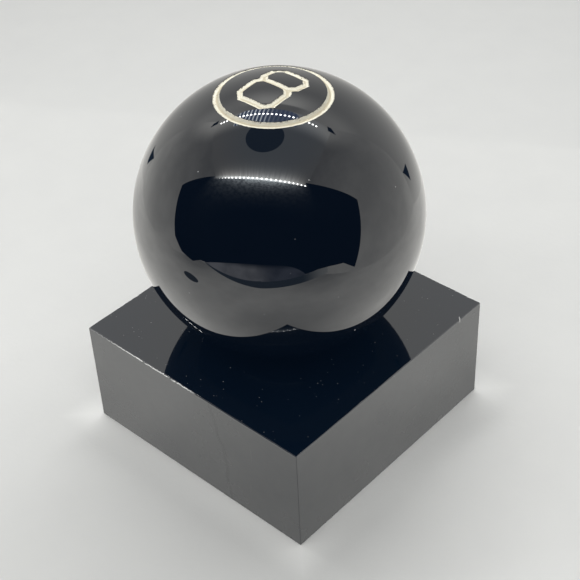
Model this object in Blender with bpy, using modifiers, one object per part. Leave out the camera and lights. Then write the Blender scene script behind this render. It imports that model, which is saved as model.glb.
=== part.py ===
"""An engraved eight ball on a square stone block, in Blender 4.5. Metres, +Z up.

The ball is turned from black stone and polished. A ring and the figure 8 are engraved in its top, and
each groove holds a fill of cream paint, which is a piece of its own. The ball rests in a shallow dish
ground into the top of a square black block, and lifts straight out of it.

The origin is the centre of the block's underside. The figure's top points to +Y and its right to +X,
square with the block.
"""

from math import asin, cos, pi, sin, sqrt

import bmesh
import bpy

# Driving dimensions
BALL_RADIUS = 0.057150 / 2  # a standard pool ball, 2 1/4 in across
BLOCK_SIDE = 0.0578
BLOCK_HEIGHT = 0.0247
BALL_SINK = 0.0024  # how far the ball reaches below the block's top face

# The block's edges
UPRIGHT_EDGE_RADIUS = 0.0003
UPRIGHT_EDGE_SEGMENTS = 3
RIM_CHAMFER = 0.00025
RIM_ANGLE_LIMIT = 40 * pi / 180  # above the angle between facets of an upright edge, below a right angle
SMOOTH_ANGLE = 30 * pi / 180  # facets that meet at less than this are shaded as one round surface

# The engraving, measured flat, looking straight down on the top of the ball
RING_OUTER_RADIUS = 0.01125
RING_INNER_RADIUS = 0.00990
FIGURE_WIDTH = 0.00940
FIGURE_HEIGHT = 0.01340
STROKE = 0.00135
BAR_CENTRE_Y = 0.00076  # the shared bar of the 8 lies above the middle, so the upper loop is the smaller
OUTER_CORNER = 0.0020  # how far a 45 degree corner cut runs along each side
INNER_CORNER = 0.0009
WAIST_DEPTH = 0.0007  # how far the outline steps in beside the bar
WAIST_HALF_HEIGHT = 0.0010
GROOVE_DEPTH = 0.0009
FILL_RECESS = 0.00015  # the paint lies this far below the ball's surface

# Clearances
SEAT_GAP = 0.0003
FILL_GAP = 0.0001

# Fineness
TURN_STEPS = 72
ARC_STEP = 5 * pi / 180
FILL_ARC_POINTS = 3
CUT_MARGIN = 0.004  # how far a cutter runs past what it cuts
MERGE = 0.00001

BALL_CENTRE_Z = BLOCK_HEIGHT - BALL_SINK + BALL_RADIUS

STONE_BLACK = (0.012, 0.012, 0.013, 1)
BLOCK_BLACK = (0.022, 0.022, 0.023, 1)
PAINT_CREAM = (0.83, 0.78, 0.62, 1)


def clear_scene():
    for item in list(bpy.data.objects):
        bpy.data.objects.remove(item)


def new_collection(name):
    collection = bpy.data.collections.new(name)
    bpy.context.scene.collection.children.link(collection)
    return collection


def material(name, colour, roughness):
    made = bpy.data.materials.new(name)
    made.use_nodes = True
    shader = made.node_tree.nodes["Principled BSDF"]
    shader.inputs["Base Color"].default_value = colour
    shader.inputs["Roughness"].default_value = roughness
    shader.inputs["Metallic"].default_value = 0
    return made


def add_object(name, mesh, collection, surface=None):
    item = bpy.data.objects.new(name, mesh)
    collection.objects.link(item)
    if surface is not None:
        mesh.materials.append(surface)
    return item


def hide_cutter(item):
    item.hide_render = True
    item.display_type = "WIRE"


def cut(item, cutter, operation="DIFFERENCE"):
    boolean = item.modifiers.new(f"{operation.lower()}_{cutter.name}", "BOOLEAN")
    boolean.operation = operation
    boolean.solver = "EXACT"
    boolean.object = cutter


def arc(radius, start, end):
    """Points (x, z) on a circle round the origin, for angles measured down from +Z, about ARC_STEP apart."""
    count = max(2, round(abs(end - start) / ARC_STEP) + 1)
    angles = [start + (end - start) * i / (count - 1) for i in range(count)]
    return [(radius * sin(a), radius * cos(a)) for a in angles]


def turned(name, profile, collection, closed=False, surface=None):
    """A solid of revolution about Z, from a profile of (x, z) points at +X."""
    mesh = bpy.data.meshes.new(name)
    last = len(profile) - 1
    edges = [(i, i + 1) for i in range(last)]
    if closed:
        edges.append((last, 0))
    mesh.from_pydata([(x, 0, z) for x, z in profile], edges, [])
    item = add_object(name, mesh, collection, surface)
    screw = item.modifiers.new("turn", "SCREW")
    screw.axis = "Z"
    screw.angle = 2 * pi
    screw.steps = TURN_STEPS
    screw.render_steps = TURN_STEPS
    screw.use_merge_vertices = True
    screw.merge_threshold = MERGE
    screw.use_smooth_shade = True
    return item


def sphere_profile(radius):
    """A half circle from the top pole to the bottom pole, closed on the axis."""
    points = arc(radius, 0, pi)
    points[0] = (0, radius)
    points[-1] = (0, -radius)
    return points


def ball_profile():
    """The ball's half circle with the ring groove stepped into it."""
    inner = asin(RING_INNER_RADIUS / BALL_RADIUS)
    outer = asin(RING_OUTER_RADIUS / BALL_RADIUS)
    floor = BALL_RADIUS - GROOVE_DEPTH
    points = arc(BALL_RADIUS, 0, inner) + arc(floor, inner, outer) + arc(BALL_RADIUS, outer, pi)
    points[0] = (0, BALL_RADIUS)
    points[-1] = (0, -BALL_RADIUS)
    return points


def ring_fill_profile():
    """The ring groove's section less the clearance: outward along the face, then back along the underside."""
    floor = BALL_RADIUS - GROOVE_DEPTH + FILL_GAP
    top = BALL_RADIUS - FILL_RECESS
    inner = asin((RING_INNER_RADIUS + FILL_GAP) / BALL_RADIUS)
    outer = asin((RING_OUTER_RADIUS - FILL_GAP) / BALL_RADIUS)
    angles = [inner + (outer - inner) * i / (FILL_ARC_POINTS - 1) for i in range(FILL_ARC_POINTS)]
    over = [(top * sin(a), top * cos(a)) for a in angles]
    under = [(floor * sin(a), floor * cos(a)) for a in reversed(angles)]
    return over + under


def corner_cut_loop(half_width, low, high, corner):
    """An upright rectangle with 45 degree corner cuts, anticlockwise from its lower right."""
    return [
        (half_width, low + corner),
        (half_width, high - corner),
        (half_width - corner, high),
        (corner - half_width, high),
        (-half_width, high - corner),
        (-half_width, low + corner),
        (corner - half_width, low),
        (half_width - corner, low),
    ]


def figure_outline():
    """The outside of the 8: a corner-cut rectangle that steps in beside the bar, anticlockwise."""
    half_width = FIGURE_WIDTH / 2
    half_height = FIGURE_HEIGHT / 2
    loop = corner_cut_loop(half_width, -half_height, half_height, OUTER_CORNER)
    right_waist = [
        (half_width, BAR_CENTRE_Y - WAIST_HALF_HEIGHT),
        (half_width - WAIST_DEPTH, BAR_CENTRE_Y),
        (half_width, BAR_CENTRE_Y + WAIST_HALF_HEIGHT),
    ]
    left_waist = [(-x, y) for x, y in reversed(right_waist)]
    return loop[:1] + right_waist + loop[1:5] + left_waist + loop[5:]


def figure_holes():
    """The two openings of the 8, the lower one first."""
    half_width = FIGURE_WIDTH / 2 - STROKE
    end = FIGURE_HEIGHT / 2 - STROKE
    lower = corner_cut_loop(half_width, -end, BAR_CENTRE_Y - STROKE / 2, INNER_CORNER)
    upper = corner_cut_loop(half_width, BAR_CENTRE_Y + STROKE / 2, end, INNER_CORNER)
    return [lower, upper]


def moved_in(points, distance):
    """An anticlockwise outline with every side moved inward by a distance, or outward if it is negative."""
    moved = []
    count = len(points)
    for i in range(count):
        before, here, after = points[i - 1], points[i], points[(i + 1) % count]
        sides = []
        for (ax, ay), (bx, by) in ((before, here), (here, after)):
            length = sqrt((bx - ax) ** 2 + (by - ay) ** 2)
            sides.append(((ay - by) / length, (bx - ax) / length))
        (nx, ny), (mx, my) = sides
        reach = distance / (1 + nx * mx + ny * my)
        moved.append((here[0] + (nx + mx) * reach, here[1] + (ny + my) * reach))
    return moved


def figure_prism(name, collection, shrink=0.0, surface=None):
    """The 8 as an upright prism that spans the top of the ball, as a mesh object."""
    flat = bpy.data.curves.new(name, "CURVE")
    flat.dimensions = "2D"
    flat.fill_mode = "BOTH"
    flat.extrude = CUT_MARGIN
    loops = [moved_in(figure_outline(), shrink)]
    loops += [moved_in(hole, -shrink) for hole in figure_holes()]
    for loop in loops:
        spline = flat.splines.new("POLY")
        spline.points.add(len(loop) - 1)
        for point, (x, y) in zip(spline.points, loop):
            point.co = (x, y, 0, 1)
        spline.use_cyclic_u = True
    guide = add_object(name + "_outline", flat, collection)
    guide.location.z = BALL_CENTRE_Z + BALL_RADIUS
    bpy.context.view_layer.update()
    graph = bpy.context.evaluated_depsgraph_get()
    mesh = bpy.data.meshes.new_from_object(guide.evaluated_get(graph), depsgraph=graph)
    mesh.name = name
    body = bmesh.new()
    body.from_mesh(mesh)
    bmesh.ops.remove_doubles(body, verts=body.verts, dist=MERGE)
    body.to_mesh(mesh)
    body.free()
    prism = add_object(name, mesh, collection, surface)
    prism.matrix_world = guide.matrix_world
    bpy.data.objects.remove(guide)
    return prism


def sphere_cutter(name, radius, collection):
    item = turned(name, sphere_profile(radius), collection)
    item.location.z = BALL_CENTRE_Z
    hide_cutter(item)
    return item


def make_ball(parts, cutters, stone):
    """The ball, with the ring groove in its turned profile and the 8 cut down to the same depth."""
    ball = turned("ball", ball_profile(), parts, surface=stone)
    ball.location.z = BALL_CENTRE_Z
    groove = figure_prism("figure_groove", cutters)
    cut(groove, sphere_cutter("groove_floor", BALL_RADIUS - GROOVE_DEPTH, cutters))
    hide_cutter(groove)
    cut(ball, groove)
    return ball


def make_ring_inlay(parts, paint):
    ring = turned("ring_inlay", ring_fill_profile(), parts, closed=True, surface=paint)
    ring.location.z = BALL_CENTRE_Z
    return ring


def make_numeral_inlay(parts, cutters, paint):
    """The paint in the 8: its prism, kept between two spheres that are the fill's underside and face."""
    fill = figure_prism("numeral_inlay", parts, shrink=FILL_GAP, surface=paint)
    cut(fill, sphere_cutter("fill_underside", BALL_RADIUS - GROOVE_DEPTH + FILL_GAP, cutters))
    cut(fill, sphere_cutter("fill_face", BALL_RADIUS - FILL_RECESS, cutters), "INTERSECT")
    return fill


def make_base_block(parts, cutters, stone):
    """The block: rounded upright edges, a fine chamfer round both faces and the dish for the ball."""
    body = bmesh.new()
    bmesh.ops.create_cube(body, size=1)
    for vertex in body.verts:
        vertex.co.x *= BLOCK_SIDE
        vertex.co.y *= BLOCK_SIDE
        vertex.co.z = (vertex.co.z + 0.5) * BLOCK_HEIGHT
    upright = [e for e in body.edges if abs(e.verts[0].co.z - e.verts[1].co.z) > BLOCK_HEIGHT / 2]
    bmesh.ops.bevel(
        body,
        geom=upright,
        offset=UPRIGHT_EDGE_RADIUS,
        segments=UPRIGHT_EDGE_SEGMENTS,
        profile=0.5,
        affect="EDGES",
    )
    mesh = bpy.data.meshes.new("base_block")
    body.to_mesh(mesh)
    body.free()
    block = add_object("base_block", mesh, parts, stone)
    rim = block.modifiers.new("rim_chamfer", "BEVEL")
    rim.width = RIM_CHAMFER
    rim.segments = 1
    rim.limit_method = "ANGLE"
    rim.angle_limit = RIM_ANGLE_LIMIT
    cut(block, sphere_cutter("seat_dish", BALL_RADIUS + SEAT_GAP, cutters))
    mesh.shade_smooth()
    mesh.set_sharp_from_angle(angle=SMOOTH_ANGLE)


def keep_place_parented_to(item, parent):
    item.parent = parent
    item.matrix_parent_inverse = parent.matrix_world.inverted()


def main():
    clear_scene()
    parts = new_collection("eight_ball_on_block")
    cutters = new_collection("cutters")
    ball_stone = material("ball_stone", STONE_BLACK, 0.05)
    block_stone = material("block_stone", BLOCK_BLACK, 0.12)
    ring_paint = material("ring_paint", PAINT_CREAM, 0.55)
    numeral_paint = material("numeral_paint", PAINT_CREAM, 0.55)

    make_base_block(parts, cutters, block_stone)
    ball = make_ball(parts, cutters, ball_stone)
    fills = [make_ring_inlay(parts, ring_paint), make_numeral_inlay(parts, cutters, numeral_paint)]

    # The ball carries its fills, and lifts along Z from an empty at its centre.
    lift = bpy.data.objects.new("ball_lift_axis", None)
    lift.location.z = BALL_CENTRE_Z
    parts.objects.link(lift)
    bpy.context.view_layer.update()
    for item in [ball] + fills:
        keep_place_parented_to(item, lift)


main()
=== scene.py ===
"""The fine surface, materials, light and camera for the engraved eight ball on its stone block.

Metres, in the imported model's frame: the block stands on z = 0, and the 8's top points to +Y.
"""

from math import asin, ceil, cos, degrees, exp, pi, radians, sin, sqrt

import bmesh
import bpy
import numpy as np
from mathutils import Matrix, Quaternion, Vector, geometry, noise


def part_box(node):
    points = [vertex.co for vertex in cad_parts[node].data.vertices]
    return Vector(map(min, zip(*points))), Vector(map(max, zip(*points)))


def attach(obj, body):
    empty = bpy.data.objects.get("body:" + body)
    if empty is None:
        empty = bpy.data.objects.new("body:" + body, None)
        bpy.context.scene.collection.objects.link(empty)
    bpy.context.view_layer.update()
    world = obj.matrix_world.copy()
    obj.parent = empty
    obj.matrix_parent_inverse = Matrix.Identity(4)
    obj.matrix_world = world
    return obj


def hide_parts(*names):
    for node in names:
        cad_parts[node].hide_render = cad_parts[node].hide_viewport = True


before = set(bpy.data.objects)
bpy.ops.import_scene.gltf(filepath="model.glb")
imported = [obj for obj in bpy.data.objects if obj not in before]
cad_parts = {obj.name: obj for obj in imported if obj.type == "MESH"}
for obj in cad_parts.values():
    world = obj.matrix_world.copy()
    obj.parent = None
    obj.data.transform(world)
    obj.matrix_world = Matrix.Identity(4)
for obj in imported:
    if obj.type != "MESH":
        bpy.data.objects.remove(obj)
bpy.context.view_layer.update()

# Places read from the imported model
BALL_LOW, BALL_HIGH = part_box("ball")
BALL_CENTRE = (BALL_LOW + BALL_HIGH) / 2
BALL_RADIUS = (BALL_HIGH.z - BALL_LOW.z) / 2
BLOCK_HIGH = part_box("base_block")[1]
BLOCK_HALF = BLOCK_HIGH.x
BLOCK_TOP = BLOCK_HIGH.z

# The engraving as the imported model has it, flat, looking straight down on the ball
RING_OUTER_RADIUS = 0.01125
RING_INNER_RADIUS = 0.00990
FIGURE_WIDTH = 0.00940
FIGURE_HEIGHT = 0.01340
STROKE = 0.00135
BAR_CENTRE_Y = 0.00076
OUTER_CORNER = 0.0020
INNER_CORNER = 0.0009
WAIST_DEPTH = 0.0007
WAIST_HALF_HEIGHT = 0.0010

# The grooves and the paint in them
GROOVE_DEPTH = 0.00085
FILL_BED = 0.00084  # the fill's underside, a hair above the groove's floor
PAINT_LIP = 0.00008  # the paint starts this far below the ball's surface
PAINT_VALLEY = 0.00046  # and sinks to this along the middle of a stroke
WOBBLE = 0.000035  # how far the hand-cut edges wander
WOBBLE_LENGTH = 0.0009
WOBBLE_LEVELS = (0, 5)  # the two levels of the noise that move x and y
PAINT_UNEVEN = 0.000022

# The ball's mesh
CAP_RADIUS = 0.0128  # the disc round the engraving that is cut into triangles
RIM_POINTS = 288
EDGE_STEP = 0.00012
PAINT_STEP = 0.00014
STONE_STEP = 0.00045
TOUCHING = STONE_STEP / 100000  # points closer than this are one
RING_STEP = radians(1.4)

# The block's mesh
EDGE_RADIUS = 0.00014
SHARPEST = 0.00002  # the least radius of an upright corner, where the top's edge is rounded further in
ARRIS = 0.00022
BOTTOM_ARRIS = 0.00015
CORNER_STEPS = 4
SIDE_STEP = 0.00035
ARRIS_STEPS = 5
SUPPORT = 0.00004  # how close the rings stand that keep the flat faces flat
SEAT_GAP = 0.00005
SEAT_EDGE = 0.00015
SEAT_RINGS = 24
TOP_RINGS = 4
SEAT_START = 0.997  # the dish's first ring, as a share of the angle to its rim
# How the width of its eased edges changes along them: slowly, finely, and at small chips
UNEVEN_LENGTH = 0.004
UNEVEN_SHARE = 0.35
BOTTOM_UNEVEN_SHARE = 0.3
FINE_LENGTH = 0.0006
FINE_SHARE = 0.12
FINE_LEVEL = 0.5  # the level of the noise that it takes
CHIP_COUNT = 30
CHIP_SEED = 8
CHIP_LENGTHS = (0.00012, 0.0007)  # the least and greatest half length of a chip
CHIP_SIZES = (0.1, 0.5)  # how much wider it makes the arris, as a share, before it is worn
CHIP_WEAR = (0.3, 1.0)
CHIP_ROUNDNESS = 0.6
CHIP_HOLLOW = 0.5  # how far a chip sinks into the eased edge, as a share of its size

# The camera
CAMERA_AZIMUTH = radians(43.69)
CAMERA_ELEVATION = radians(38.88)
CAMERA_ROLL = radians(-2.82)
CAMERA_DISTANCE = 0.27410
CAMERA_OFFSET = (0.00103, 0.00523)  # the aim point's place left of and below the picture's middle
CAMERA_LENS = 81.72
CAMERA_SENSOR = 36.0

# The light tent: it faces TENT_AZIMUTH, and forward and side are measured from the object's middle
TENT_AZIMUTH = radians(30)
TENT_FRONT = 0.215
TENT_REAR = -0.112
TENT_LEFT = -0.208
TENT_RIGHT = 0.142
TENT_HEIGHT = 0.286
# Its lamps
LAMP_HEIGHT = 0.284
LAMP_RADIUS = 0.0028
LAMP_GLOW = 45.0
LAMP_LIGHT_WIDTH = 0.03
# Each row's left end, right end and number of lamps, and its light's power in watts
FRONT_LAMPS = (-0.204, 0.136, 23)
FRONT_LAMPS_FORWARD = 0.140
FRONT_LAMPS_POWER = 0.10
REAR_LAMPS = (-0.180, 0.092, 26)
REAR_LAMPS_FORWARD = -0.087
REAR_LAMPS_POWER = 0.30
# Its open front
OPENING_DISTANCE = 0.140
OPENING_LEFT = radians(74.5)
OPENING_RIGHT = radians(78)
OPENING_WIDEST = 0.112  # the height at which the opening reaches furthest round
OPENING_RISE = 0.178
OPENING_FULLNESS = 0.85  # the power that fills its arch out a little
OPENING_COLUMNS = 305
LAMP_LINE_LOW = 0.071
LAMP_LINE_RISE = 0.211
LAMP_LINE_LEFT = radians(-56)
LAMP_LINE_RIGHT = radians(45)
LAMP_LINE_GAP = 0.009  # how far under the lamps the opening ends
LEDGE_LEFT = radians(38)
LEDGE_RIGHT = radians(43)
CARD_STEP = 0.001  # how far one stage card stands in front of the next
# The haze under its front lamps, the rear lamps' board, and its other cards
HAZE_LEFT = radians(-60)
HAZE_RIGHT = radians(48)
HAZE_REACH = 0.13
BOARD_MIDDLE = -0.043
BOARD_HALF = 0.085
BOARD_EDGES = (-0.006, 0.035)  # its rear and front edges, from the rear lamps
BOARD_BULGE = 0.020
HOLE_RADIUS = 0.051
HOLE_PLACE = (-0.026, -0.014)
PATCH_DISTANCE = 0.100
SHEEN_HEIGHT = 0.0002  # the mirrored floor lies this far over the real one
# The opening's lower edge: turn from the tent's facing in degrees, and height in millimetres
OPENING_SILL = (
    (-74.5, 112),
    (-63, 46),
    (-56, 31),
    (-47, 26),
    (-41, 34),
    (44, 34),
    (54, 31),
    (62, 15),
    (78, 112),
)
SECOND_MIRROR = 0.08  # how much of the tent's light is left in stone that mirrors stone
STONE_IOR = 1.6
TOP_IOR = 1.82
SIDE_IOR = 1.5
CLOTH_COLOUR = (1.0, 0.99, 0.945, 1)
FLOOR_REACH = 6.0


# --- Flat outlines of the engraving ---


def corner_cut_loop(half_width, low, high, corner):
    """An upright rectangle with 45 degree corner cuts, anticlockwise from its lower right."""
    return [
        (half_width, low + corner),
        (half_width, high - corner),
        (half_width - corner, high),
        (corner - half_width, high),
        (-half_width, high - corner),
        (-half_width, low + corner),
        (corner - half_width, low),
        (half_width - corner, low),
    ]


def figure_loops():
    """The 8's outline with its waist, then its two openings."""
    half_width = FIGURE_WIDTH / 2
    half_height = FIGURE_HEIGHT / 2
    loop = corner_cut_loop(half_width, -half_height, half_height, OUTER_CORNER)
    right_waist = [
        (half_width, BAR_CENTRE_Y - WAIST_HALF_HEIGHT),
        (half_width - WAIST_DEPTH, BAR_CENTRE_Y),
        (half_width, BAR_CENTRE_Y + WAIST_HALF_HEIGHT),
    ]
    left_waist = [(-x, y) for x, y in reversed(right_waist)]
    outline = loop[:1] + right_waist + loop[1:5] + left_waist + loop[5:]
    inner_half = half_width - STROKE
    end = half_height - STROKE
    lower = corner_cut_loop(inner_half, -end, BAR_CENTRE_Y - STROKE / 2, INNER_CORNER)
    upper = corner_cut_loop(inner_half, BAR_CENTRE_Y + STROKE / 2, end, INNER_CORNER)
    return [outline, lower, upper]


def circle_loop(radius, count):
    return [(radius * cos(2 * pi * i / count), radius * sin(2 * pi * i / count)) for i in range(count)]


def hand_cut(loop):
    """A loop with points every EDGE_STEP, each moved a little, as a hand-held cutter leaves it."""
    points = []
    for (ax, ay), (bx, by) in zip(loop, loop[1:] + loop[:1]):
        count = ceil(sqrt((bx - ax) ** 2 + (by - ay) ** 2) / EDGE_STEP)
        for i in range(count):
            x = ax + (bx - ax) * i / count
            y = ay + (by - ay) * i / count
            place = Vector((x, y, 0)) / WOBBLE_LENGTH
            drift = [noise.noise(place + Vector((0, 0, level))) for level in WOBBLE_LEVELS]
            points.append((x + WOBBLE * drift[0], y + WOBBLE * drift[1]))
    return np.array(points)


def inside(points, loop):
    """Which points lie inside a loop, by counting the sides that each one's ray to +X crosses."""
    x, y = points[:, :1], points[:, 1:]
    ax, ay = loop[:, 0], loop[:, 1]
    bx, by = np.roll(ax, -1), np.roll(ay, -1)
    spans = (ay > y) != (by > y)
    rise = np.where(by == ay, 1, by - ay)
    crosses = x < ax + (y - ay) * (bx - ax) / rise
    return (spans & crosses).sum(axis=1) % 2 == 1


def distance_to(points, loops):
    """The distance from each point to the nearest side of any loop."""
    nearest = np.full(len(points), np.inf)
    for loop in loops:
        start = loop
        run = np.roll(loop, -1, axis=0) - loop
        for piece in np.array_split(np.arange(len(points)), 1 + len(points) // 2000):
            to_point = points[piece][:, None] - start[None]
            along = (to_point * run).sum(axis=2) / (run**2).sum(axis=1)
            gap = to_point - np.clip(along, 0, 1)[..., None] * run
            nearest[piece] = np.minimum(nearest[piece], np.sqrt((gap**2).sum(axis=2)).min(axis=1))
    return nearest


def hex_points(step, radius):
    """A triangular grid of points that fills a disc."""
    points = []
    rise = step * sqrt(3) / 2
    rows = int(radius / rise)
    for row in range(-rows, rows + 1):
        y = row * rise
        shift = step / 2 * (row % 2)
        half = sqrt(max(0, radius**2 - y**2))
        columns = int(half / step)
        points += [(column * step + shift, y) for column in range(-columns, columns)]
    return np.array(points)


def engraving_plan():
    """Cuts the disc round the engraving into flat triangles along the groove edges.

    Returns the points, the triangles, the distance of each point from a groove's edge, and which
    triangles are the ring's and which are the figure's.
    """
    rim = np.array(circle_loop(CAP_RADIUS, RIM_POINTS))
    ring_count = int(2 * pi * RING_OUTER_RADIUS / EDGE_STEP)
    ring = [hand_cut(circle_loop(r, ring_count)) for r in (RING_OUTER_RADIUS, RING_INNER_RADIUS)]
    figure = [hand_cut(loop) for loop in figure_loops()]
    edges_cut = ring + figure

    def in_ring(points):
        return inside(points, ring[0]) & ~inside(points, ring[1])

    def in_figure(points):
        return inside(points, figure[0]) & ~inside(points, figure[1]) & ~inside(points, figure[2])

    fine = hex_points(PAINT_STEP, RING_OUTER_RADIUS)
    fine = fine[in_ring(fine) | in_figure(fine)]
    fine = fine[distance_to(fine, edges_cut) > EDGE_STEP / 2]
    coarse = hex_points(STONE_STEP, CAP_RADIUS - STONE_STEP / 2)
    coarse = coarse[~(in_ring(coarse) | in_figure(coarse))]
    coarse = coarse[distance_to(coarse, edges_cut) > STONE_STEP / 2]

    loops = [rim] + edges_cut
    points = np.vstack(loops + [fine, coarse])
    sides = []
    first = 0
    for loop in loops:
        count = len(loop)
        sides += [(first + i, first + (i + 1) % count) for i in range(count)]
        first += count
    vectors = [Vector(p) for p in points.tolist()]
    no_faces, keep_all = [], 0
    cut = geometry.delaunay_2d_cdt(vectors, sides, no_faces, keep_all, TOUCHING)
    points = np.array([tuple(v) for v in cut[0]])
    triangles = np.array(cut[2])
    middles = points[triangles].mean(axis=1)
    ring_part = in_ring(middles)
    figure_part = in_figure(middles)
    return points, triangles, distance_to(points, edges_cut), ring_part, figure_part


def outward_edges(triangles):
    """The directed sides that belong to one triangle only: the outline, with the inside on its left."""
    sides = {(int(t[i]), int(t[(i + 1) % 3])) for t in triangles for i in range(3)}
    return [(a, b) for a, b in sorted(sides) if (b, a) not in sides]


def under_surface(points, depth):
    """The points of the ball that lie below flat points, at a depth under its surface."""
    x, y = points[:, 0], points[:, 1]
    outward = np.column_stack([x, y, np.sqrt(BALL_RADIUS**2 - x**2 - y**2)]) / BALL_RADIUS
    return np.array(BALL_CENTRE) + outward * (BALL_RADIUS - np.broadcast_to(depth, x.shape))[:, None]


# --- Pieces ---


def add_object(name, data):
    made = bpy.data.objects.new(name, data)
    bpy.context.scene.collection.objects.link(made)
    return made


def add_mesh(name, points, faces):
    mesh = bpy.data.meshes.new(name)
    mesh.from_pydata([tuple(p) for p in points], [], [tuple(f) for f in faces])
    mesh.validate()
    return add_object(name, mesh)


def make_ball(plan):
    """The ball: its true round surface, with the grooves' walls and floors sunk into its top."""
    flat, triangles, _, ring_part, figure_part = plan
    stone = triangles[~(ring_part | figure_part)]
    sunk = triangles[ring_part | figure_part]
    surface_count = len(flat)
    points = np.vstack([under_surface(flat, 0), under_surface(flat, GROOVE_DEPTH)])
    faces = [tuple(t) for t in stone.tolist()]

    # The rest of the sphere: rings from the cap's rim down to the bottom pole.
    radius_of = np.hypot(flat[:, 0], flat[:, 1])
    rim = np.flatnonzero(radius_of > CAP_RADIUS - STONE_STEP / 4)
    rim = rim[np.argsort(np.arctan2(flat[rim, 1], flat[rim, 0]))]
    turn = np.arctan2(flat[rim, 1], flat[rim, 0])
    start = asin(CAP_RADIUS / BALL_RADIUS)
    rings = round((pi - start) / RING_STEP)
    above = rim.tolist()
    for k in range(1, rings):
        down = start + (pi - start) * k / rings
        level = np.full(len(turn), cos(down))
        ring = np.column_stack([sin(down) * np.cos(turn), sin(down) * np.sin(turn), level])
        below = list(range(len(points), len(points) + len(turn)))
        points = np.vstack([points, np.array(BALL_CENTRE) + BALL_RADIUS * ring])
        faces += [
            (above[i - 1], below[i - 1], below[i], above[i])
            for i in range(len(turn))
        ]
        above = below
    pole = len(points)
    points = np.vstack([points, np.array(BALL_CENTRE) - (0, 0, BALL_RADIUS)])
    faces += [(above[i - 1], pole, above[i]) for i in range(len(turn))]
    round_faces = len(faces)

    # Walls face into the grooves, and floors close them.
    on_rim = set(rim.tolist())
    for a, b in outward_edges(stone):
        if not (a in on_rim and b in on_rim):
            faces.append((a, a + surface_count, b + surface_count, b))
    faces += [tuple(t) for t in (sunk + surface_count).tolist()]

    used = np.unique(np.concatenate([np.array(f) for f in faces]))
    order = np.full(len(points), -1)
    order[used] = np.arange(len(used))
    ball = add_mesh("polished_ball", points[used], [order[list(f)].tolist() for f in faces])
    set_round_normals(ball.data, round_faces)
    return ball


def set_round_normals(mesh, round_faces):
    """Gives the first faces the exact normals of the ball, so that its mirror image is undistorted."""
    mesh.shade_smooth()
    normals = []
    for polygon in mesh.polygons:
        for vertex in polygon.vertices:
            if polygon.index < round_faces:
                normals.append((mesh.vertices[vertex].co - BALL_CENTRE).normalized())
            else:
                normals.append(polygon.normal)
    mesh.normals_split_custom_set(normals)


def paint_depth(flat, from_edge):
    """How deep the paint lies, from a lip at the stroke's edges down to a rounded valley.

    Also returns each point's share of the way to the middle of the stroke.
    """
    share = np.clip(from_edge / (STROKE / 2), 0, 1)
    depth = PAINT_LIP + (PAINT_VALLEY - PAINT_LIP) * (share - share**4 / 4) * 4 / 3
    uneven = [noise.noise(Vector((x, y, 0)) / WOBBLE_LENGTH * 2) for x, y in flat.tolist()]
    return depth + PAINT_UNEVEN * np.array(uneven) * share, share


def make_fill(name, plan, part):
    """A closed slip of paint that fills a groove, with a hollow face."""
    flat, triangles, from_edge, _, _ = plan
    mine = triangles[part]
    used = np.unique(mine)
    order = np.full(len(flat), -1)
    order[used] = np.arange(len(used))
    mine = order[mine]
    depth, share = paint_depth(flat[used], from_edge[used])
    count = len(used)
    points = np.vstack([under_surface(flat[used], depth), under_surface(flat[used], FILL_BED)])
    faces = mine.tolist() + (mine[:, ::-1] + count).tolist()
    top_count = len(mine)
    faces += [(a, a + count, b + count, b) for a, b in outward_edges(mine)]
    fill = add_mesh(name, points, faces)
    fill.data.shade_smooth()
    valley = fill.data.attributes.new("valley", "FLOAT", "POINT")
    valley.data.foreach_set("value", np.concatenate([share, share]).astype(np.float32))
    sharp = [p.index >= top_count for p in fill.data.polygons]
    fill.data.attributes.new("sharp_face", "BOOLEAN", "FACE").data.foreach_set("value", sharp)
    return fill


def chip_sizes(run, total):
    """How much wider the arris is at each place along its run, where the stone has small chips."""
    rng = np.random.default_rng(CHIP_SEED)
    sizes = np.zeros(len(run))
    for _ in range(CHIP_COUNT):
        place = rng.uniform(0, total)
        half_length = rng.uniform(*CHIP_LENGTHS)
        size = rng.uniform(*CHIP_SIZES) * rng.uniform(*CHIP_WEAR)
        away = np.abs((run - place + total / 2) % total - total / 2)
        sizes += size * np.clip(1 - away / half_length, 0, 1) ** CHIP_ROUNDNESS
    return sizes


def square_outline():
    """Places round the block's outline, each given by a foot EDGE_RADIUS inside it and its facing."""
    straight = BLOCK_HALF - EDGE_RADIUS
    points = []
    for quarter in range(4):
        turn = pi / 2 * quarter
        cx = straight * (cos(turn) - sin(turn))
        cy = straight * (sin(turn) + cos(turn))
        for i in range(CORNER_STEPS + 1):
            a = turn + pi / 2 * i / CORNER_STEPS
            points.append(((cx, cy), (cos(a), sin(a))))
        facing = turn + pi / 2
        run = 2 * straight
        steps = int(run / SIDE_STEP)
        places = [SUPPORT] + [run * i / steps for i in range(1, steps)] + [run - SUPPORT]
        for place in places:
            foot = (cx - cos(turn) * place, cy - sin(turn) * place)
            points.append((foot, (cos(facing), sin(facing))))
    return points


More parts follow.
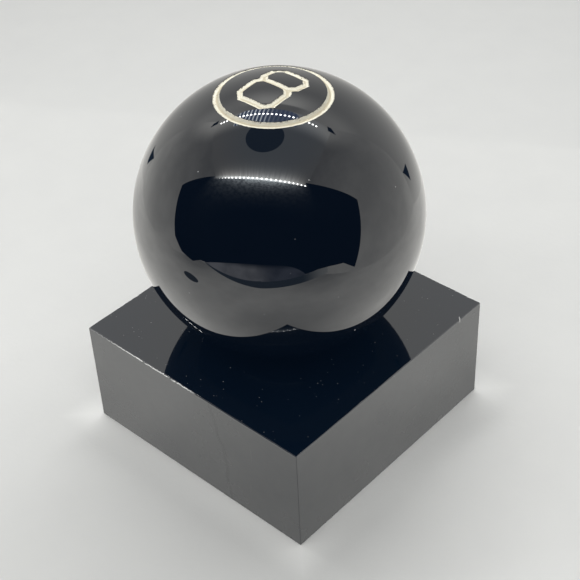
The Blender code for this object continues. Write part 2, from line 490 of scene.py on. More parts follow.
def make_block():
    """The block as rings joined by faces: underside, sides, eased edges with chips, top and dish."""
    outline = square_outline()
    count = len(outline)
    centres = np.array([c for c, _ in outline])
    facing = np.array([d for _, d in outline])
    edge = centres + facing * EDGE_RADIUS
    steps = np.hypot(*(np.roll(edge, -1, axis=0) - edge).T)
    run = np.concatenate([[0], np.cumsum(steps)[:-1]])
    places = edge.tolist()
    uneven = np.array([noise.noise(Vector((x, y, 0)) / UNEVEN_LENGTH) for x, y in places])
    fine = np.array([noise.noise(Vector((x, y, FINE_LEVEL)) / FINE_LENGTH) for x, y in places])
    chips = chip_sizes(run, steps.sum())
    arris = ARRIS * (1 + UNEVEN_SHARE * uneven + FINE_SHARE * fine + chips)
    bottom = BOTTOM_ARRIS * (1 + BOTTOM_UNEVEN_SHARE * uneven)

    def ring(inset, height):
        inset = np.broadcast_to(inset, count)
        corner = np.clip(EDGE_RADIUS - inset, SHARPEST, None)
        past = (inset + corner - EDGE_RADIUS) / (BLOCK_HALF - EDGE_RADIUS)
        flat = centres * (1 - past)[:, None] + facing * corner[:, None]
        return np.column_stack([flat, np.broadcast_to(height, count)])

    rings = [(ring(bottom + SUPPORT, 0), "side")]
    for k in range(ARRIS_STEPS + 1):
        a = pi / 2 * k / ARRIS_STEPS
        rings.append((ring(bottom * (1 - sin(a)), bottom * (1 - cos(a))), "side"))
    rings.append((ring(0, bottom + SUPPORT), "side"))
    rings.append((ring(0, BLOCK_TOP - arris - SUPPORT), "side"))
    for k in range(ARRIS_STEPS + 1):
        a = pi / 2 * k / ARRIS_STEPS
        hollow = ARRIS * CHIP_HOLLOW * chips * sin(2 * a)
        inset = arris * (1 - cos(a)) + hollow
        rings.append((ring(inset, BLOCK_TOP - arris * (1 - sin(a)) - hollow), "top"))
    last_square = ring(arris + SUPPORT, BLOCK_TOP)
    rings.append((last_square, "top"))

    dish = BALL_RADIUS + SEAT_GAP
    rim_radius = sqrt(dish**2 - (BALL_CENTRE.z - BLOCK_TOP) ** 2)
    turn = np.arctan2(last_square[:, 1], last_square[:, 0])
    around = np.column_stack([np.cos(turn), np.sin(turn)])
    rim = np.column_stack([around * (rim_radius + SEAT_EDGE), np.full(count, BLOCK_TOP)])
    for k in range(1, TOP_RINGS + 1):
        share = k / TOP_RINGS
        rings.append((last_square * (1 - share) + rim * share, "top"))
    reach = asin(rim_radius / dish)
    for k in range(SEAT_RINGS):
        a = reach * (1 - k / SEAT_RINGS) * SEAT_START
        height = BALL_CENTRE.z - dish * cos(a)
        rings.append((np.column_stack([around * dish * sin(a), np.full(count, height)]), "seat"))

    points = [r for r, _ in rings]
    kinds = [kind for _, kind in rings]
    faces = []
    slots = []
    slot_of = {"side": 0, "top": 1, "seat": 2}
    for k in range(len(points) - 1):
        low, high = k * count, (k + 1) * count
        before = [(i - 1) % count for i in range(count)]
        faces += [(low + j, low + i, high + i, high + j) for i, j in enumerate(before)]
        slots += [slot_of[kinds[k + 1]]] * count
    bottom_centre = len(points) * count
    seat_centre = bottom_centre + 1
    faces += [(bottom_centre, i, (i - 1) % count) for i in range(count)]
    slots += [slot_of["side"]] * count
    last = (len(points) - 1) * count
    faces += [(last + (i - 1) % count, last + i, seat_centre) for i in range(count)]
    slots += [slot_of["seat"]] * count
    everything = np.vstack(points + [[(0, 0, 0)], [(0, 0, BALL_CENTRE.z - dish)]])
    block = add_mesh("stone_block", everything, faces)
    block.data.shade_smooth()
    block.data.polygons.foreach_set("material_index", slots)
    return block


# --- Materials ---


class Recipe:
    """Builds one material, or a world. Most methods add a node and return the socket that it gives."""

    def __init__(self, name, world=False):
        self.made = (bpy.data.worlds if world else bpy.data.materials).new(name)
        self.made.use_nodes = True
        self.tree = self.made.node_tree
        self.shader = self.tree.nodes["Background" if world else "Principled BSDF"]
        self.place = self.tree.nodes.new("ShaderNodeTexCoord").outputs["Generated" if world else "Object"]

    def feed(self, socket, value):
        """Links a socket to another, or sets it to a number, vector or colour."""
        if isinstance(value, bpy.types.NodeSocket):
            self.tree.links.new(value, socket)
        else:
            socket.default_value = value

    def add(self, kind, inputs, output=0, **settings):
        made = self.tree.nodes.new("ShaderNode" + kind)
        for name, value in settings.items():
            setattr(made, name, value)
        for key, value in inputs.items():
            self.feed(made.inputs[key], value)
        return made.outputs[output]

    def noise(self, size, detail=3.0, rough=0.55, warp=0.0, place=None):
        """Cloudy noise from 0 to 1, with features about as large as size."""
        inputs = {
            "Vector": place or self.place,
            "Scale": 1 / size,
            "Detail": detail,
            "Roughness": rough,
            "Distortion": warp,
        }
        return self.add("TexNoise", inputs)

    def cells(self, size, place=None):
        """Distances to scattered points about size apart, as a share of size."""
        return self.add("TexVoronoi", {"Vector": place or self.place, "Scale": 1 / size})

    def stretched(self, scale, turn):
        """The place turned and stretched, for marks that run one way."""
        inputs = {"Vector": self.place, "Scale": scale, "Rotation": turn}
        return self.add("Mapping", inputs)

    def band(self, value, low, high, start=0.0, end=1.0):
        """A smooth step: start below low, end above high."""
        inputs = {0: value, 1: low, 2: high, 3: start, 4: end}
        return self.add("MapRange", inputs, interpolation_type="SMOOTHSTEP")

    def maths(self, operation, a, b=0.0):
        return self.add("Math", {0: a, 1: b}, operation=operation)

    def plus(self, a, b):
        return self.maths("ADD", a, b)

    def minus(self, a, b):
        return self.maths("SUBTRACT", a, b)

    def times(self, first, *others):
        for other in others:
            first = self.maths("MULTIPLY", first, other)
        return first

    def larger(self, a, b):
        return self.maths("MAXIMUM", a, b)

    def away(self, value, middle):
        """How far a value is from a middle, either way."""
        return self.maths("ABSOLUTE", self.minus(value, middle))

    def length(self, a, b):
        """The long side of a right-angled triangle with sides a and b."""
        return self.maths("SQRT", self.plus(self.times(a, a), self.times(b, b)))

    def off_block(self):
        """How far a place is outside the block's square outline, seen from above."""
        return self.larger(*(self.minus(self.away(self.axis(i), 0.0), BLOCK_HALF) for i in range(2)))

    def blend(self, factor, a, b):
        inputs = {0: factor, 6: a, 7: b}
        return self.add("Mix", inputs, output=2, data_type="RGBA")

    def bump(self, height, distance):
        return self.add("Bump", {"Height": height, "Distance": distance, "Strength": 1.0})

    def axis(self, index):
        return self.add("SeparateXYZ", {0: self.place}, output=index)

    def finish(self, **inputs):
        """Feeds the shader, with spaces for underscores in the sockets' names, and gives what was made."""
        for name, value in inputs.items():
            self.feed(self.shader.inputs[name.replace("_", " ")], value)
        return self.made


def grey(value):
    return (value, value, value, 1)


def dust(r, spacing, size):
    """A mask of dust specks scattered about spacing apart, each fading out at size from its middle."""
    speck = r.band(r.cells(spacing), size / spacing, size / spacing * 0.4)
    some = r.band(r.noise(spacing * 3), 0.50, 0.60)
    return r.times(speck, some)


def ball_stone():
    """Black stone with a mirror polish: faint clouding, a few smears and the odd speck of dust."""
    r = Recipe("ball_stone")
    cloud = r.blend(r.noise(0.009), (0.0010, 0.0016, 0.0036, 1), (0.0022, 0.0030, 0.0052, 1))
    specks = dust(r, 0.0040, 0.00017)
    colour = r.blend(specks, cloud, grey(0.30))
    smear = r.band(r.noise(0.011, warp=1.2), 0.50, 0.75, 0.012, 0.045)
    roughness = r.larger(smear, r.times(specks, 0.6))
    polish = r.bump(r.noise(0.004, detail=1.0), 0.0000012)
    return r.finish(Base_Color=colour, Roughness=roughness, Normal=polish, IOR=STONE_IOR)


def arris_nick(r):
    """A mask of the one clear nick, a short tick across the right-hand top edge, slanting back on top."""
    slant = r.plus(r.axis(0), r.axis(1))
    across = r.band(r.away(slant, BLOCK_HALF + 0.0217), 0.00022, 0.00008)
    in_from_edge = r.away(r.axis(0), BLOCK_HALF)
    down_from_edge = r.away(r.axis(2), BLOCK_TOP)
    near = r.band(r.length(in_from_edge, down_from_edge), 0.0009, 0.0004, 0.0, 0.5)
    return r.times(across, near)


def scuffs_and_painted_glint(r):
    """A mask of the top edges: faint rubbed scuffs all round, and a painted glint, a bright thin broken line
    on the front left where the rounded arris mirrors the front lamps.
    """
    x, y, z = (r.axis(i) for i in range(3))
    on_arris = r.band(z, BLOCK_TOP - 0.00001, BLOCK_TOP - 0.00005)
    scuffs = r.band(r.noise(0.0026, detail=4.0), 0.54, 0.68, 0.0, 0.03)
    # The painted glint: a ragged thin line just under the top of the front-left arris, fading in from the
    # left and broken along its length.
    front = r.band(y, 0.0006 - BLOCK_HALF, 0.0003 - BLOCK_HALF)
    ragged = r.band(r.noise(0.0007, detail=3.0), 0.35, 0.65, -0.00008, 0.00008)
    middle = r.plus(ragged, BLOCK_TOP - 0.00011)
    thin = r.band(r.away(z, middle), 0.00012, 0.00006)
    start = r.band(x, -0.027, -0.015, 0.15, 1.0)
    end = r.band(x, 0.003, 0.0)
    breaks = r.band(r.noise(0.0018, detail=4.0), 0.36, 0.46, 0.20, 1.0)
    line = r.times(front, thin, start, end, breaks)
    return r.times(on_arris, r.larger(scuffs, line))


def block_top_stone():
    """The block's polished face and edges: blue-black, dusty, with fine wipe marks, rubbed edges, a nick,
    and a painted glint on the front-left arris.
    """
    r = Recipe("block_top_stone")
    cloud = r.blend(r.noise(0.012), (0.0014, 0.0042, 0.0100, 1), (0.0022, 0.0055, 0.0125, 1))
    specks = r.larger(dust(r, 0.0026, 0.00016), dust(r, 0.0011, 0.00013))
    dusty = r.blend(specks, cloud, grey(0.20))
    wear_and_painted_glint = r.larger(scuffs_and_painted_glint(r), arris_nick(r))
    # Pale where the edges are scuffed or nicked, and where the glint is painted.
    colour = r.blend(wear_and_painted_glint, dusty, (0.92, 0.92, 0.90, 1))
    wipes = r.noise(0.0006, detail=2.0, place=r.stretched((0.08, 1.0, 1.0), (0, 0, radians(37))))
    haze = r.band(wipes, 0.42, 0.82, 0.024, 0.080)
    roughness = r.larger(haze, r.times(r.larger(specks, wear_and_painted_glint), 0.5))
    flatness = r.bump(r.noise(0.006, detail=1.0), 0.0000015)
    return r.finish(Base_Color=colour, Roughness=roughness, Normal=flatness, IOR=TOP_IOR)


def block_side_stone():
    """The honed sides: grey-black and softly clouded, with a thin vein, smudges and a few scratches."""
    r = Recipe("block_side_stone")
    cloud = r.blend(r.noise(0.012, detail=4.0), (0.024, 0.026, 0.030, 1), (0.064, 0.066, 0.064, 1))
    grain = r.blend(r.noise(0.0007, detail=2.0), grey(0.96), grey(1.04))
    body = r.add("Mix", {0: 1.0, 6: cloud, 7: grain}, output=2, data_type="RGBA",
                 blend_type="MULTIPLY")
    wander = r.times(r.minus(r.noise(0.009, detail=1.0), 0.5), 0.006)
    line = r.plus(r.plus(r.axis(0), wander), r.times(r.axis(2), 0.138))
    vein = r.band(r.away(line, 0.0104), 0.0006, 0.00005, 0.0, 0.45)
    veined = r.blend(vein, body, (0.010, 0.010, 0.011, 1))
    hair = r.noise(0.0005, detail=1.0, place=r.stretched((1.0, 1.0, 0.05), (radians(18), radians(12), 0)))
    scratch = r.band(hair, 0.76, 0.82, 0.0, 0.30)
    scratched = r.blend(scratch, veined, grey(0.095))
    colour = r.blend(arris_nick(r), scratched, (0.75, 0.75, 0.73, 1))
    smudge = r.band(r.noise(0.012), 0.35, 0.75, 0.22, 0.29)
    relief = r.minus(r.times(r.noise(0.0003, detail=2.0), 0.2), vein)
    tooth = r.bump(relief, 0.000003)
    return r.finish(Base_Color=colour, Roughness=smudge, Normal=tooth, IOR=SIDE_IOR)


def seat_stone():
    """The dish: ground but not polished, with turning marks and a rubbed track under the ball."""
    r = Recipe("seat_stone")
    out = r.length(r.axis(0), r.axis(1))
    lap = r.maths("SINE", r.times(out, 2 * pi / 0.00022))
    track = r.band(r.maths("ABSOLUTE", r.minus(out, 0.0085)), 0.0020, 0.0006)
    ground = r.blend(r.noise(0.0012, detail=4.0), (0.040, 0.040, 0.041, 1), (0.075, 0.075, 0.076, 1))
    colour = r.blend(track, ground, (0.018, 0.018, 0.019, 1))
    roughness = r.blend(track, grey(0.50), grey(0.22))
    return r.finish(Base_Color=colour, Roughness=roughness, Normal=r.bump(lap, 0.000006), IOR=1.7)


def cream_paint(name, seed_shift, painted_shade_radius):
    """Paint wiped into a groove: cream at the lips, with painted shade that turns it tan along the valley,
    and dark pits.

    Inside painted_shade_radius, where a ring's inner slope faces outward, the paint is greyer with painted
    shade.
    """
    r = Recipe(name)
    valley = r.add("Attribute", {}, output=2, attribute_name="valley")
    shifted = r.add("Mapping", {"Vector": r.place, "Location": (seed_shift, 0, 0)})
    patches = r.band(r.noise(0.0016, detail=3.0, place=shifted), 0.45, 0.75, 0.0, 0.45)
    cream = r.blend(patches, (0.87, 0.84, 0.70, 1), (0.70, 0.62, 0.45, 1))
    slope_off = r.minus(r.length(r.axis(0), r.axis(1)), painted_shade_radius)
    # Painted shade on the ring's inner slope, which faces outward and gets less light.
    slope = r.times(r.band(slope_off, 0.0001, -0.0002, 0.0, 0.55), r.band(valley, 0.05, 0.35))
    shaded = r.blend(slope, cream, (0.44, 0.41, 0.32, 1))
    # Painted shade deepening towards the middle of each stroke, where the groove's valley lies.
    painted_valley_shade = r.blend(r.band(valley, 0.50, 0.95, 0.0, 0.72), shaded, (0.50, 0.43, 0.28, 1))
    grain = r.noise(0.00016, detail=3.0, place=shifted)
    speckled = r.blend(r.band(grain, 0.56, 0.74, 0.0, 0.50), painted_valley_shade, (0.42, 0.34, 0.21, 1))
    lip = r.band(valley, 0.32, 0.04)
    worn = r.band(r.noise(0.00045, detail=3.0, place=shifted), 0.50, 0.60)
    pits = r.band(r.cells(0.0008, place=shifted), 0.22, 0.10)
    rare = r.band(r.noise(0.0023, place=shifted), 0.47, 0.54)
    bare = r.larger(r.times(lip, worn), r.times(pits, rare))
    colour = r.blend(r.times(bare, 0.85), speckled, (0.060, 0.045, 0.030, 1))
    roughness = r.band(grain, 0.3, 0.7, 0.42, 0.62)
    relief = r.minus(grain, r.times(bare, 0.8))
    return r.finish(Base_Color=colour, Roughness=roughness, Normal=r.bump(relief, 0.00003), IOR=1.5)


# --- Stage: floor, light and camera ---


def glow(r, colour, strength, twice=SECOND_MIRROR):
    """Turns a recipe's material into one that only glows, and glows less where stone mirrors stone.

    The ray depth is 1 where stone mirrors the material straight, and 2 or more where it does not.
    """
    depth = r.add("LightPath", {}, output="Ray Depth")
    dimmed = r.times(strength, r.band(depth, 1.4, 1.6, 1.0, twice))
    made = r.add("Emission", {"Color": colour, "Strength": dimmed})
    out = r.tree.nodes["Material Output"]
    r.tree.links.new(made, out.inputs["Surface"])
    return r.made


def plain_glow(name, colour):
    return glow(Recipe(name), (*colour, 1), 1.0)


def only_in_reflections(card):
    """A stage card that polished stone mirrors, but that neither the camera nor the light sees."""
    for ray in ("camera", "diffuse", "transmission", "volume_scatter", "shadow"):
        setattr(card, "visible_" + ray, False)


def add_card(name, points, faces, material):
    card = add_mesh(name, points, faces)
    card.data.materials.append(material)
    only_in_reflections(card)
    return card


def tent_point(azimuth, forward, side, height):
    """A place: forward towards an azimuth, and side to its right as seen from outside looking back."""
    x = forward * sin(azimuth) + side * cos(azimuth)
    y = side * sin(azimuth) - forward * cos(azimuth)
    return Vector((x, y, height))


def tent_axes(r):
    """The tent's own forward and side distances, as tent_point has them."""
    turned = r.add("Mapping", {"Vector": r.place, "Rotation": (0, 0, -TENT_AZIMUTH)})
    back = r.add("SeparateXYZ", {0: turned}, output=1)
    side = r.add("SeparateXYZ", {0: turned}, output=0)
    return r.times(back, -1.0), side


def side_cloth(name, lamp_light):
    """A side wall: pale, brighter towards the floor, and lit by the rear lamps at its top rear corner."""
    r = Recipe(name)
    forward, _ = tent_axes(r)
    tone = r.band(r.axis(2), 0.0, TENT_HEIGHT, 1.36, 0.72)
    folds = r.band(r.noise(0.06, detail=5.0, rough=0.65), 0.30, 0.70, 0.90, 1.08)
    along = r.times(r.away(forward, -0.100), 1.6)
    lamps_off = r.length(along, r.away(r.axis(2), 0.290))
    lit = r.band(lamps_off, 0.010, 0.140, lamp_light, 0.0)
    return glow(r, CLOTH_COLOUR, r.plus(r.times(tone, folds), lit))


def rear_cloth():
    """The rear wall: dim in the middle, with the band of light that the lamps above it throw."""
    r = Recipe("rear_cloth")
    _, side = tent_axes(r)
    height = r.axis(2)
    wall = r.band(r.away(side, -0.030), 0.05, 0.16, 0.76, 1.0)
    foot = r.band(height, 0.0, 0.05, 0.30, 0.0)
    middle_off = r.away(side, -0.020)
    over = r.band(height, 0.236, 0.247, 1.0, r.band(middle_off, 0.04, 0.09, 0.15, 1.0))
    thrown = r.times(r.band(height, 0.150, 0.232), over)
    lit = r.times(thrown, r.band(middle_off, 0.02, 0.09, 1.5, 0.5))
    return glow(r, CLOTH_COLOUR, r.plus(r.plus(wall, foot), lit))


def tent_roof():
    """The roof: bluer in its middle, with each lamp row's light fading away from it."""
    r = Recipe("tent_roof")
    forward, side = tent_axes(r)
    centre_off = r.add("VectorMath", {0: r.place, 1: (0, 0, TENT_HEIGHT)}, output=1,
                       operation="DISTANCE")
    colour = r.blend(r.band(centre_off, 0.05, 0.20), (0.91, 0.97, 1.01, 1), CLOTH_COLOUR)
    rear_lit = r.band(r.away(forward, REAR_LAMPS_FORWARD), 0.0, 0.06, 1.3, 0.0)
    across = r.add("CombineXYZ", {0: side, 1: r.times(forward, 0.05)})
    streaks = r.band(r.noise(0.005, detail=2.0, place=across), 0.3, 0.7, 0.75, 1.25)
    front_off = r.away(forward, FRONT_LAMPS_FORWARD)
    haze = r.maths("EXPONENT", r.times(front_off, -1 / 0.014))
    ends = r.band(r.away(side, -0.034), 0.190, 0.110, 0.0, 6.6)
    front_lit = r.times(haze, ends, streaks)
    base = r.band(centre_off, 0.05, 0.20, 0.74, 0.77)
    return glow(r, colour, r.plus(base, r.plus(rear_lit, front_lit)))


def floor_sheen():
    """The floor as the stone mirrors it, with painted shade: darker behind, by the block's foot and corner,
    and far in front.
    """
    r = Recipe("floor_sheen")
    forward, side = tent_axes(r)
    # Painted shade: the block's shadow behind it, its contact shadow along its foot and round its front
    # corner, and less light far in front.
    behind_off = r.length(r.times(r.away(forward, -0.075), 1.5), r.away(side, -0.035))
    behind = r.band(behind_off, 0.0, 0.17, 0.45, 1.0)
    corner_off = r.length(r.away(r.axis(0), BLOCK_HALF), r.away(r.axis(1), -BLOCK_HALF))
    corner = r.band(corner_off, 0.0, 0.065, 0.52, 1.0)
    in_front = r.band(forward, 0.04, 0.15)
    beside = r.band(r.away(side, -0.03), 0.03, 0.15, 0.05, 0.45)
    front = r.minus(1.0, r.times(in_front, beside))
    foot = r.band(r.off_block(), 0.016, 0.0)
    depth = r.times(r.band(r.away(side, 0.008), 0.0, 0.035, 0.0, 0.38),
                    r.band(side, -0.036, 0.000, 0.45, 0.9))
    beside_block = r.minus(1.0, r.times(foot, depth))
    shade = r.times(behind, corner, front, beside_block)
    folds = r.band(r.noise(0.035, detail=5.0, rough=0.65), 0.30, 0.70, 1.44, 1.66)
    return glow(r, CLOTH_COLOUR, r.times(shade, folds))


def make_tent():
    """The tent's inside as the stone mirrors it: four walls, a roof and its floor."""
    corners = (
        (TENT_FRONT, TENT_LEFT),
        (TENT_FRONT, TENT_RIGHT),
        (TENT_REAR, TENT_RIGHT),
        (TENT_REAR, TENT_LEFT),
    )
    heights = (SHEEN_HEIGHT, TENT_HEIGHT)
    points = [tent_point(TENT_AZIMUTH, f, s, z) for z in heights for f, s in corners]
    faces = [(i, (i + 1) % 4, (i + 1) % 4 + 4, i + 4) for i in range(4)] + [(4, 5, 6, 7), (0, 1, 2, 3)]
    tent = add_mesh("tent", points, faces)
    cloths = (
        side_cloth("front_cloth", 0.0),
        side_cloth("right_cloth", 0.8),
        rear_cloth(),
        side_cloth("left_cloth", 1.4),
        tent_roof(),
        floor_sheen(),
    )
    for i, cloth in enumerate(cloths):
        tent.data.materials.append(cloth)
        tent.data.polygons[i].material_index = i
    only_in_reflections(tent)


def make_lamp_row(name, forward, row, power):
    """A row of small lamps under the tent's roof, and the soft light that it gives."""
    start, end, count = row
    beads = bmesh.new()
    for i in range(count):
        made = bmesh.ops.create_icosphere(beads, subdivisions=2, radius=LAMP_RADIUS)
        place = tent_point(TENT_AZIMUTH, forward, start + (end - start) * i / (count - 1), LAMP_HEIGHT)
        bmesh.ops.translate(beads, verts=made["verts"], vec=place)
    mesh = bpy.data.meshes.new(name)
    beads.to_mesh(mesh)
    beads.free()
    mesh.materials.append(glow(Recipe(name), grey(1), LAMP_GLOW, 1.0))
    only_in_reflections(add_object(name, mesh))

    light = bpy.data.lights.new(name + "_light", "AREA")
    light.shape = "RECTANGLE"
    light.size = end - start
    light.size_y = LAMP_LIGHT_WIDTH
    light.energy = power
    lamp = add_object(name + "_light", light)
    lamp.location = tent_point(TENT_AZIMUTH, forward, (start + end) / 2, LAMP_HEIGHT)
    lamp.rotation_mode = "QUATERNION"
    lamp.rotation_quaternion = (BALL_CENTRE - lamp.location).to_track_quat("-Z", "Y")
    lamp.visible_glossy = False


def add_band(name, columns, material):
    """A stage card made of (low, high) pairs of places, joined one to the next."""
    points = [place for column in columns for place in column]
    faces = [(2 * i, 2 * i + 2, 2 * i + 3, 2 * i + 1) for i in range(len(columns) - 1)]
    add_card(name, points, faces, material)


def lamp_line(turn):
    """The height at which the front lamps seem to stand on the opening's curve, seen from the ball."""
    return LAMP_LINE_LOW + LAMP_LINE_RISE * cos(turn)


def opening_top(turn):
    """The height of the opening's upper edge: a wide arch, with the lamps along the middle of it."""
    half = OPENING_RIGHT if turn > 0 else OPENING_LEFT
    arch = OPENING_WIDEST + OPENING_RISE * max(0, cos(pi / 2 * turn / half)) ** OPENING_FULLNESS
    if LAMP_LINE_LEFT < turn < LAMP_LINE_RIGHT:
        return min(arch, lamp_line(turn) - LAMP_LINE_GAP)
    return arch


def opening_sill(turn):
    turns, heights = zip(*OPENING_SILL)
    return float(np.interp(degrees(turn), turns, heights)) / 1000


def ledge(turn):
    """The low and high edge of the shaded ledge under the opening: a sagging, tapering crescent."""
    foot, sag = 0.006, 1.6
    if turn < 0:
        low = foot + 0.028 * (-turn / LEDGE_LEFT) ** sag
        return low, low + 0.015 * max(0, 1 + turn / radians(40))
    low = foot + 0.018 * (turn / LEDGE_RIGHT) ** sag
    return low, min(0.034, low + 0.014)


def table_rim(turn):
    """The far side of the table that shows above the ledge."""
    highest = 0.051
    if turn < 0:
        return highest - 0.015 * (turn / radians(35)) ** 2
    return highest - 0.017 * (turn / radians(27)) ** 4


def ledge_shade():
    """The ledge's dark grey, which lightens towards its right end."""
    r = Recipe("ledge_shade")
    _, side = tent_axes(r)
    colour = r.blend(r.band(side, 0.060, 0.096), (0.15, 0.18, 0.21, 1), (1.0, 1.02, 1.0, 1))
    return glow(r, colour, 1.0)


def table_top():
    """The table's grey, which sinks into the dark of the room at its far side."""
    r = Recipe("table_top")
    _, side = tent_axes(r)
    tone = r.blend(r.band(side, -0.015, 0.025), (0.80, 0.81, 0.87, 1), (0.28, 0.30, 0.37, 1))
    blotch = r.band(r.noise(0.022, detail=2.0), 0.30, 0.70, 0.75, 1.15)
    sunk = r.band(r.axis(2), 0.040, 0.052, 1.0, 0.10)
    return glow(r, tone, r.times(blotch, sunk))


def make_opening():
    """The tent's open front: the dark room, the grey table low in it, and the ledge below both."""
    room = []
    table = []
    shade = []
    front = OPENING_DISTANCE - CARD_STEP
    for i in range(OPENING_COLUMNS):
        turn = -OPENING_LEFT + (OPENING_LEFT + OPENING_RIGHT) * i / (OPENING_COLUMNS - 1)
        azimuth = TENT_AZIMUTH + turn
        over_ledge = -LEDGE_LEFT < turn < LEDGE_RIGHT
        low, high = ledge(turn)
        floor_line = high if over_ledge else opening_sill(turn)
        room.append([tent_point(azimuth, OPENING_DISTANCE, 0, z) for z in (floor_line, opening_top(turn))])
        if over_ledge:
            shade.append([tent_point(azimuth, front, 0, z) for z in (low, high)])
        if over_ledge and table_rim(turn) > high:
            table.append([tent_point(azimuth, front, 0, z) for z in (high, table_rim(turn))])
    add_band("tent_opening", room, plain_glow("dark_room", (0.002, 0.004, 0.012)))
    add_band("table_ledge", shade, ledge_shade())
    add_band("table_top", table, table_top())


def make_lamp_glow():
    """The streaky haze that the front lamps leave on the polish, fading down over the opening."""
    columns, rows = 201, 21
    front = OPENING_DISTANCE - 2 * CARD_STEP
    points = []
    haze = []
    for i in range(columns):
        turn = HAZE_LEFT + (HAZE_RIGHT - HAZE_LEFT) * i / (columns - 1)
        ends = sin(pi * i / (columns - 1)) ** 1.5
        streak = 1 + 0.12 * noise.noise(Vector((degrees(turn) / 1.1, 0.5, 0)))
        for k in range(rows):
            drop = HAZE_REACH * k / (rows - 1)
            height = lamp_line(turn) - drop
            points.append(tent_point(TENT_AZIMUTH + turn, front, 0, height))
            fade = 9.0 * exp(-drop / 0.017) + 2.2 * exp(-drop / 0.040)
            haze.append(ends * streak * fade * (1 - drop / HAZE_REACH))
    faces = []
    for i in range(columns - 1):
        for k in range(rows - 1):
            a = i * rows + k
            faces.append((a, a + rows, a + rows + 1, a + 1))
    r = Recipe("lamp_glow")
    strength = r.add("Attribute", {}, output=2, attribute_name="haze")
    mottle = r.band(r.noise(0.007, detail=4.0), 0.32, 0.68, 0.55, 1.45)
    uneven = r.times(strength, mottle)
    light = r.add("Emission", {"Color": (0.86, 0.95, 1.0, 1), "Strength": uneven})
    clear = r.add("BsdfTransparent", {})
    both = r.add("AddShader", {0: light, 1: clear})
    r.tree.links.new(both, r.tree.nodes["Material Output"].inputs["Surface"])
    card = add_card("lamp_glow", points, faces, r.made)
    card.data.attributes.new("haze", "FLOAT", "POINT").data.foreach_set("value", haze)


def make_lamp_board():
    """The blue board that the rear lamps are fixed to, with bright bars between the left ones."""
    r = Recipe("lamp_board")
    _, side = tent_axes(r)
    left, right, count = REAR_LAMPS
    pitch = (right - left) / (count - 1)
    bars = r.band(r.maths("SINE", r.times(side, 2 * pi / pitch)), 0.1, 0.9)
    bright = r.times(bars, r.band(side, -0.015, -0.060, 0.08, 1.0))
    colour = r.blend(bright, (0.50, 0.66, 1.05, 1), (5.4, 5.8, 6.2, 1))
    columns = []
    rear, front = (REAR_LAMPS_FORWARD + edge for edge in BOARD_EDGES)
    for share in np.linspace(-1, 1, 25).tolist():
        edges = (rear - BOARD_BULGE * sqrt(1 - share**4), front)
        place = BOARD_MIDDLE + BOARD_HALF * share
        columns.append([tent_point(TENT_AZIMUTH, f, place, LAMP_HEIGHT + CARD_STEP) for f in edges])
    add_band("lamp_board", columns, glow(r, colour, 1.0))


def add_patch(name, outline, material):
    """A stage card given by its corners' turn from the tent's facing and elevation, seen from the ball."""
    points = []
    for turn, elevation in outline:
        azimuth = TENT_AZIMUTH + radians(turn)
        out = tent_point(azimuth, cos(radians(elevation)), 0, sin(radians(elevation)))
        points.append(BALL_CENTRE + out * PATCH_DISTANCE)
    add_card(name, points, [tuple(range(len(points)))], material)


def make_tent_gaps():
    """Small dark gaps at the tent's rear corners, and a dark spot on its floor."""
    dark = plain_glow("gap_dark", (0.03, 0.05, 0.08))
    low_left = [(-116.5, -3.8), (-111.7, 4.5), (-118.9, 1.3), (-121.6, 1.2), (-120.7, -1), (-118.5, -3.7)]
    add_patch("gap_low_left", low_left, dark)
    add_patch("gap_low_right", [(123.8, 4), (128.6, -4.8), (132.6, 1.1)], dark)
    add_patch("gap_high_left", [(-103.9, 49), (-108, 50.2), (-111, 53), (-106.7, 52.9)], dark)
    add_patch("gap_high_right", [(122.7, 58.6), (120.5, 56.5), (112.8, 54.2), (115.8, 58.8)], dark)
    around = [2 * pi * i / 24 for i in range(24)]
    spot = [(-47.2 + 5.4 * cos(a), -19.4 + 2.4 * sin(a) - 0.7 * cos(a)) for a in around]
    add_patch("floor_spot", spot, plain_glow("spot_dark", (0.13, 0.15, 0.16)))


def make_roof_hole():
    """The round hole in the tent's roof."""
    middle_x, middle_y = HOLE_PLACE
    points = [(middle_x + x, middle_y + y, LAMP_HEIGHT) for x, y in circle_loop(HOLE_RADIUS, 48)]
    dark = plain_glow("hole_dark", (0.10, 0.13, 0.17))
    add_card("roof_hole", points, [tuple(range(len(points)))], dark)


def make_floor():
    """A pale matt surface: faintly mottled, with painted shade in front and a painted shadow off the block's
    front face, and painted light close to the polished block.
    """
    corners = ((-1, -1), (1, -1), (1, 1), (-1, 1))
    floor = add_mesh("floor", [(x * FLOOR_REACH, y * FLOOR_REACH, 0) for x, y in corners], [(0, 1, 2, 3)])
    r = Recipe("pale_floor")
    forward, side = tent_axes(r)
    mottle = r.blend(r.noise(0.012, detail=5.0), (0.70, 0.705, 0.69, 1), (0.745, 0.75, 0.73, 1))
    # Painted shade: the floor darkens towards the tent's open front.
    front_off = r.length(r.away(forward, 0.180), side)
    pale = r.blend(r.band(front_off, 0.160, 0.030), mottle, (0.60, 0.605, 0.585, 1))
    # A painted shadow on the floor off the block's front face.
    shade_off = r.length(r.away(r.axis(0), 0.008), r.away(r.axis(1), -0.058))
    cloth = r.blend(r.band(shade_off, 0.020, 0.085, 0.30, 0.0), pale, (0.38, 0.385, 0.375, 1))
    # Painted light: the floor is brighter close to the polished block, which throws light back onto it.
    foot = r.band(r.off_block(), 0.0, 0.008, 0.65, 0.0)
    lit = r.blend(foot, cloth, (0.92, 0.925, 0.90, 1))
    bump = r.bump(r.noise(0.0012, detail=3.0), 0.00003)
    floor.data.materials.append(r.finish(Base_Color=lit, Roughness=0.7, Normal=bump))


def make_world():
    """The tent's pale cloth all round, a little brighter overhead."""
    r = Recipe("tent", world=True)
    colour = r.blend(r.band(r.axis(2), 0.0, 0.8), (0.59, 0.59, 0.585, 1), grey(0.70))
    bpy.context.scene.world = r.finish(Color=colour, Strength=1.0)


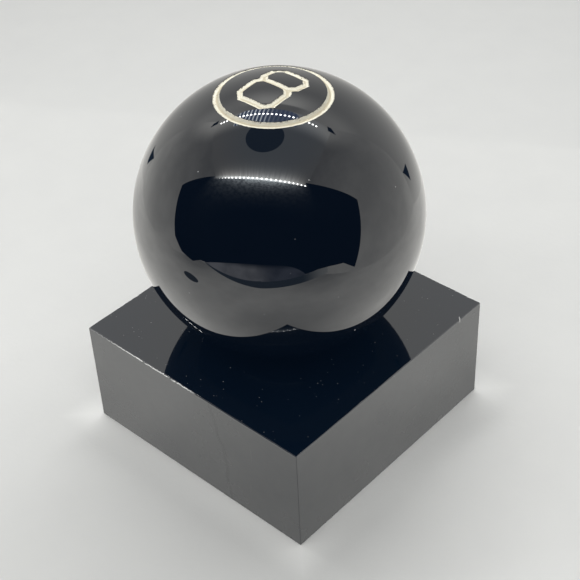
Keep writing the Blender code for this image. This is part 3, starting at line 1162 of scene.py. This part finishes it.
def make_camera():
    """The camera, at its own place above the block's front corner, rolled slightly."""
    data = bpy.data.cameras.new("camera")
    data.lens = CAMERA_LENS
    data.sensor_width = CAMERA_SENSOR
    data.clip_start = 0.01
    data.clip_end = 20
    camera = add_object("camera", data)
    flat = cos(CAMERA_ELEVATION)
    back = Vector((sin(CAMERA_AZIMUTH) * flat, -cos(CAMERA_AZIMUTH) * flat, sin(CAMERA_ELEVATION)))
    turn = back.to_track_quat("Z", "Y") @ Quaternion((0, 0, 1), CAMERA_ROLL)
    right = turn @ Vector((1, 0, 0))
    up = turn @ Vector((0, 1, 0))
    aim = Vector((0, 0, BLOCK_TOP))
    camera.location = aim + back * CAMERA_DISTANCE + right * CAMERA_OFFSET[0] + up * CAMERA_OFFSET[1]
    camera.rotation_mode = "QUATERNION"
    camera.rotation_quaternion = turn
    bpy.context.scene.camera = camera


def set_view():
    """Plain colours, with the faint blue veil that a lens lays over its darkest parts."""
    view = bpy.context.scene.view_settings
    view.view_transform = "Standard"
    view.use_curve_mapping = True
    view.curve_mapping.black_level = (-0.0008, -0.0026, -0.0060)
    view.curve_mapping.update()


def make_object():
    """Every visible piece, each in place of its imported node."""
    plan = engraving_plan()
    *_, ring_part, figure_part = plan
    ball = make_ball(plan)
    ball.data.materials.append(ball_stone())
    ring_fill = make_fill("ring_paint_fill", plan, ring_part)
    ring_middle = (RING_OUTER_RADIUS + RING_INNER_RADIUS) / 2
    ring_fill.data.materials.append(cream_paint("ring_paint", 0.0, ring_middle))
    numeral_fill = make_fill("numeral_paint_fill", plan, figure_part)
    numeral_fill.data.materials.append(cream_paint("numeral_paint", 0.05, 0.0))
    block = make_block()
    for stone in (block_side_stone(), block_top_stone(), seat_stone()):
        block.data.materials.append(stone)
    for piece, body, node, slot in (
        (ball, "ball", "ball", "ball_stone"),
        (ring_fill, "ball", "ring_inlay", "ring_paint"),
        (numeral_fill, "ball", "numeral_inlay", "numeral_paint"),
        (block, "base", "base_block", "block_stone"),
    ):
        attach(piece, body)
        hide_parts(node)


make_camera()
make_object()
make_floor()
make_world()
make_tent()
make_lamp_row("front_lamps", FRONT_LAMPS_FORWARD, FRONT_LAMPS, FRONT_LAMPS_POWER)
make_lamp_row("rear_lamps", REAR_LAMPS_FORWARD, REAR_LAMPS, REAR_LAMPS_POWER)
make_opening()
make_lamp_glow()
make_lamp_board()
make_roof_hole()
make_tent_gaps()
set_view()
